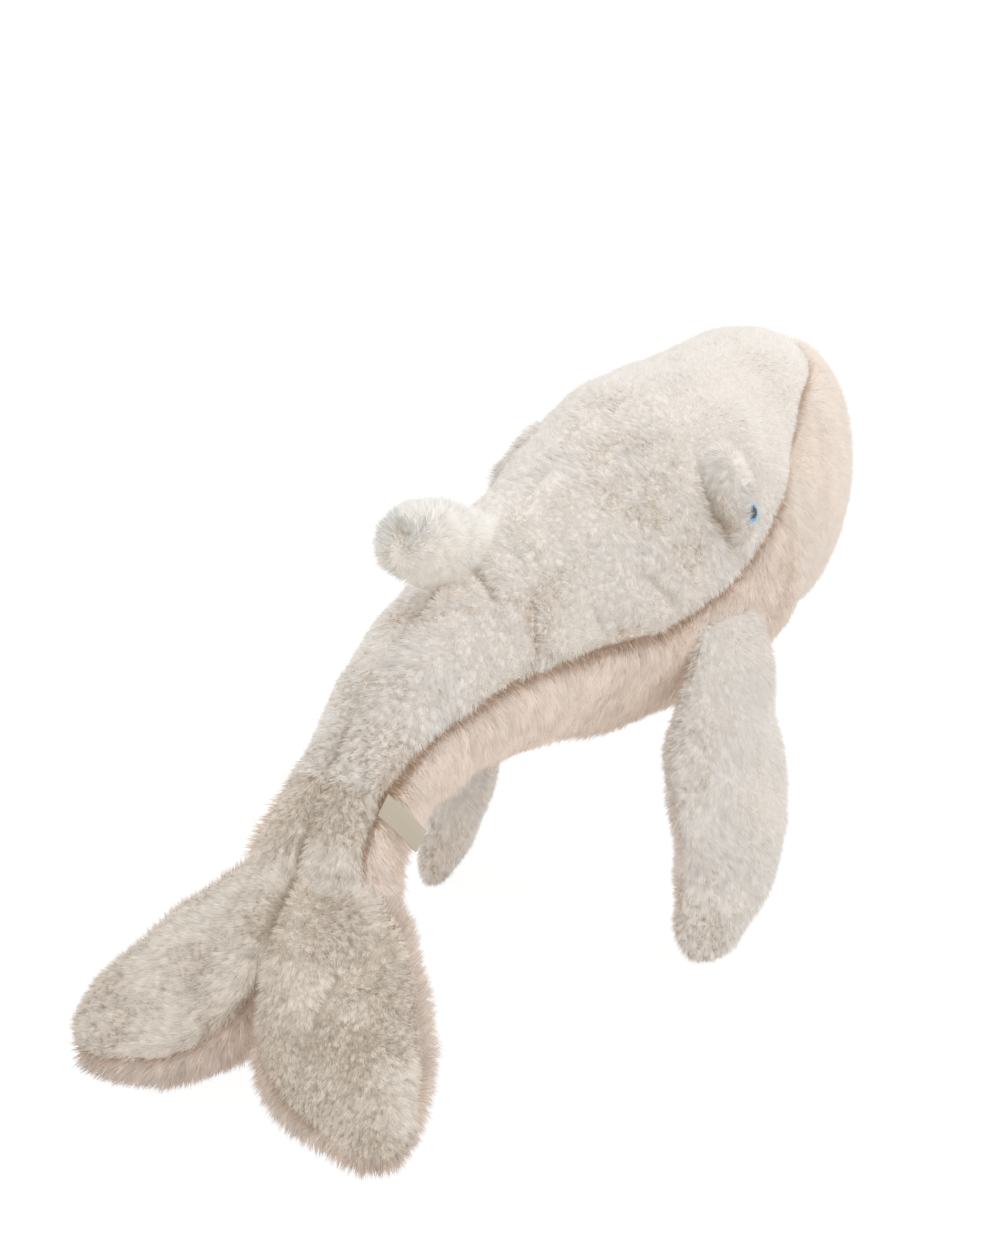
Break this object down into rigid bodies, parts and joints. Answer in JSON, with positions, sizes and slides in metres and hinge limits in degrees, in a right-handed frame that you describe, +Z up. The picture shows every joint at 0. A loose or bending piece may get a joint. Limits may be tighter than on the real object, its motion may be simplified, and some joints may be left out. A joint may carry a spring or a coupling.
{
  "type": "stuffed toy whale",
  "caption": "Large stuffed whale in shaggy cream and beige fur cloth that stands on the tips of its flippers and flukes, with a tail that bends and flippers that lift.",
  "frame": {"origin": "middle of the standing whale's box, on the floor", "axes": "+Z up, +Y towards the flukes, +X towards the whale's left"},
  "size_m": [0.2444, 0.6122, 0.3536],
  "materials": {
    "fibre_stuffing": "matte",
    "glass_beads": "gloss",
    "washer_nylon": "satin",
    "eye_plastic": "gloss",
    "tag_ribbon": "matte",
    "beige_fur_cloth": "matte",
    "cream_fur_cloth": "matte"
  },
  "bodies": {
    "torso": {"cheek_left": "cream_fur_cloth", "cheek_right": "cream_fur_cloth", "eye_left": "eye_plastic", "eye_right": "eye_plastic", "eye_washer_left": "washer_nylon", "eye_washer_right": "washer_nylon", "torso_back_left": "cream_fur_cloth", "torso_back_right": "cream_fur_cloth", "torso_stuffing": "fibre_stuffing", "torso_underside": "beige_fur_cloth"},
    "tail": {"tail_back_left": "cream_fur_cloth", "tail_back_right": "cream_fur_cloth", "tail_stuffing": "fibre_stuffing", "tail_underside": "beige_fur_cloth"},
    "flukes": {"fluke_beads": "glass_beads", "fluke_left_under": "beige_fur_cloth", "fluke_left_upper": "cream_fur_cloth", "fluke_right_under": "beige_fur_cloth", "fluke_right_upper": "cream_fur_cloth"},
    "side_tag": {"side_tag": "tag_ribbon"},
    "flipper_right": {"flipper_right_inner": "beige_fur_cloth", "flipper_right_outer": "cream_fur_cloth", "flipper_right_stuffing": "fibre_stuffing"},
    "flipper_left": {"flipper_left_inner": "beige_fur_cloth", "flipper_left_outer": "cream_fur_cloth", "flipper_left_stuffing": "fibre_stuffing"},
    "fin": {"fin_left": "cream_fur_cloth", "fin_right": "cream_fur_cloth", "fin_stuffing": "fibre_stuffing"}
  },
  "joints": [
    {"name": "tail_bend", "type": "hinge", "parent": "torso", "child": "tail", "pos_m": [0, 0.13593, 0.18011], "axis": [1, 0, 0], "range_deg": [-20, 15]},
    {"name": "fluke_fold", "type": "hinge", "parent": "tail", "child": "flukes", "pos_m": [0, 0.21715, 0.10003], "axis": [1, 0, 0], "range_deg": [-25, 25]},
    {"name": "flipper_right_raise", "type": "hinge", "parent": "torso", "child": "flipper_right", "pos_m": [-0.08784, -0.06661, 0.20191], "axis": [0.2203, 0.964, -0.1488], "range_deg": [-10, 75]},
    {"name": "flipper_left_raise", "type": "hinge", "parent": "torso", "child": "flipper_left", "pos_m": [0.08784, -0.06661, 0.20191], "axis": [-0.2203, 0.964, -0.1488], "range_deg": [-75, 10]},
    {"name": "fin_flop", "type": "hinge", "parent": "torso", "child": "fin", "pos_m": [0, 0.08067, 0.26428], "axis": [0, 0.9124, -0.4094], "range_deg": [-28, 28], "stiffness_Nm_per_rad": 0.05},
    {"name": "tag_flap", "type": "hinge", "parent": "tail", "child": "side_tag", "pos_m": [-0.03263, 0.2013, 0.15474], "axis": [-0.018, 0.7084, -0.7056], "range_deg": [-8, 55], "stiffness_Nm_per_rad": 0.0002}
  ]
}
